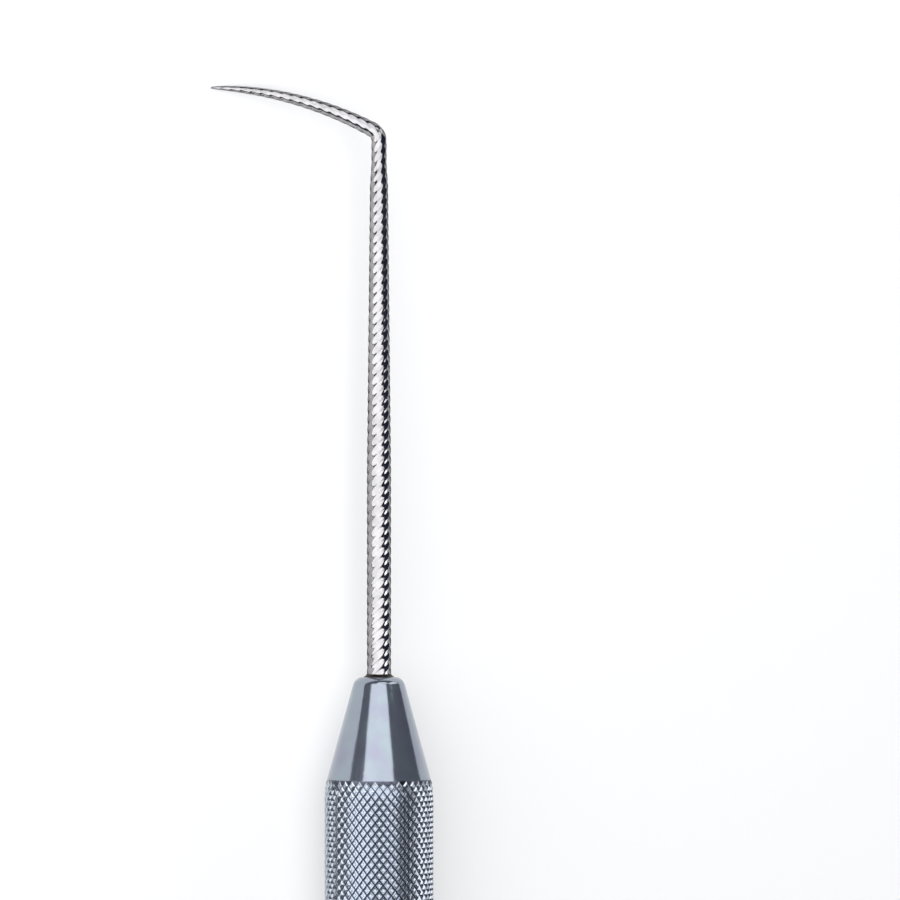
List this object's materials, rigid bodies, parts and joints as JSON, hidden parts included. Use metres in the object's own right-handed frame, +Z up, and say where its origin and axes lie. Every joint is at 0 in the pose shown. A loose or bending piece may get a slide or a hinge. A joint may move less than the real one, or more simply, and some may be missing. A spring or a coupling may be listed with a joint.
{
  "type": "dental explorer",
  "caption": "Double-ended dental explorer: a knurled steel handle with coned noses and a fine sickle-hooked tine brazed into each end.",
  "frame": {"origin": "middle of the handle, on its axis", "axes": "+Y along the handle towards the long tine, +Z up, both hooks on the -X side; the explorer lies on its handle with the tip of the long hook level with the handle's underside"},
  "size_m": [0.0124, 0.1726, 0.0064],
  "materials": {
    "handle_steel": "satin turned stainless steel, knurled at the grips",
    "tine_steel": "polished hard steel wire with a fine spiral tool mark",
    "braze": "dark silver braze"
  },
  "bodies": {
    "root": {"handle": "handle_steel", "long_tine": "tine_steel", "short_tine": "tine_steel", "long_braze": "braze", "short_braze": "braze"}
  },
  "joints": []
}
